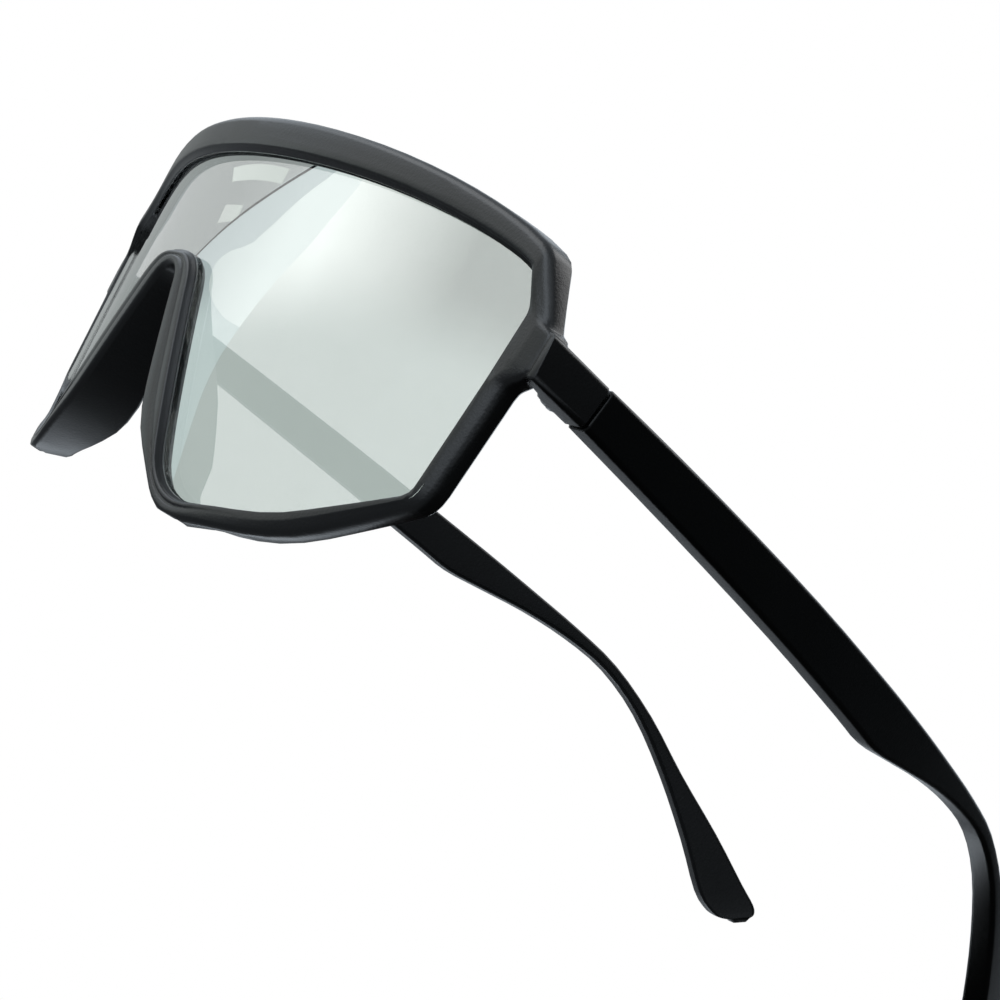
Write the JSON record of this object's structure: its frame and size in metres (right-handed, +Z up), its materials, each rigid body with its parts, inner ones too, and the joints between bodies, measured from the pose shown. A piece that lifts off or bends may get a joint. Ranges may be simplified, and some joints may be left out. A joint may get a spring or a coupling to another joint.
{
  "type": "sports sunglasses",
  "caption": "Oversized wraparound shield sunglasses with a flat-topped matte frame, a single mirrored lens and folding curved temples.",
  "frame": {"origin": "middle of the footprint, on the surface that the open glasses rest on", "axes": "+X towards the wearer's left, +Y from the lens back towards the temple tips, +Z up, with the glasses open and standing on both rim bottoms and both temple tips"},
  "size_m": [0.1442, 0.1768, 0.0504],
  "materials": {
    "frame_plastic": "matte moulded black",
    "temple_plastic": "matte moulded black",
    "mirror_lens": "silver flash mirror on a clear grey lens",
    "hinge_steel": "plain stamped steel",
    "screw_steel": "bright turned steel"
  },
  "bodies": {
    "front": {"front_frame": "frame_plastic", "shield_lens": "mirror_lens", "left_front_hinge_leaf": "hinge_steel", "right_front_hinge_leaf": "hinge_steel", "left_hinge_screw": "screw_steel", "right_hinge_screw": "screw_steel"},
    "left_temple": {"left_temple": "temple_plastic", "left_temple_hinge_leaf": "hinge_steel"},
    "right_temple": {"right_temple": "temple_plastic", "right_temple_hinge_leaf": "hinge_steel"}
  },
  "joints": [
    {"name": "left_fold", "type": "hinge", "parent": "front", "child": "left_temple", "pos_m": [0.0663, -0.06285, 0.03478], "axis": [0, 0.0618, 0.9981], "range_deg": [0, 78]},
    {"name": "right_fold", "type": "hinge", "parent": "front", "child": "right_temple", "pos_m": [-0.0663, -0.06285, 0.03478], "axis": [0, -0.0618, -0.9981], "range_deg": [0, 60]}
  ]
}
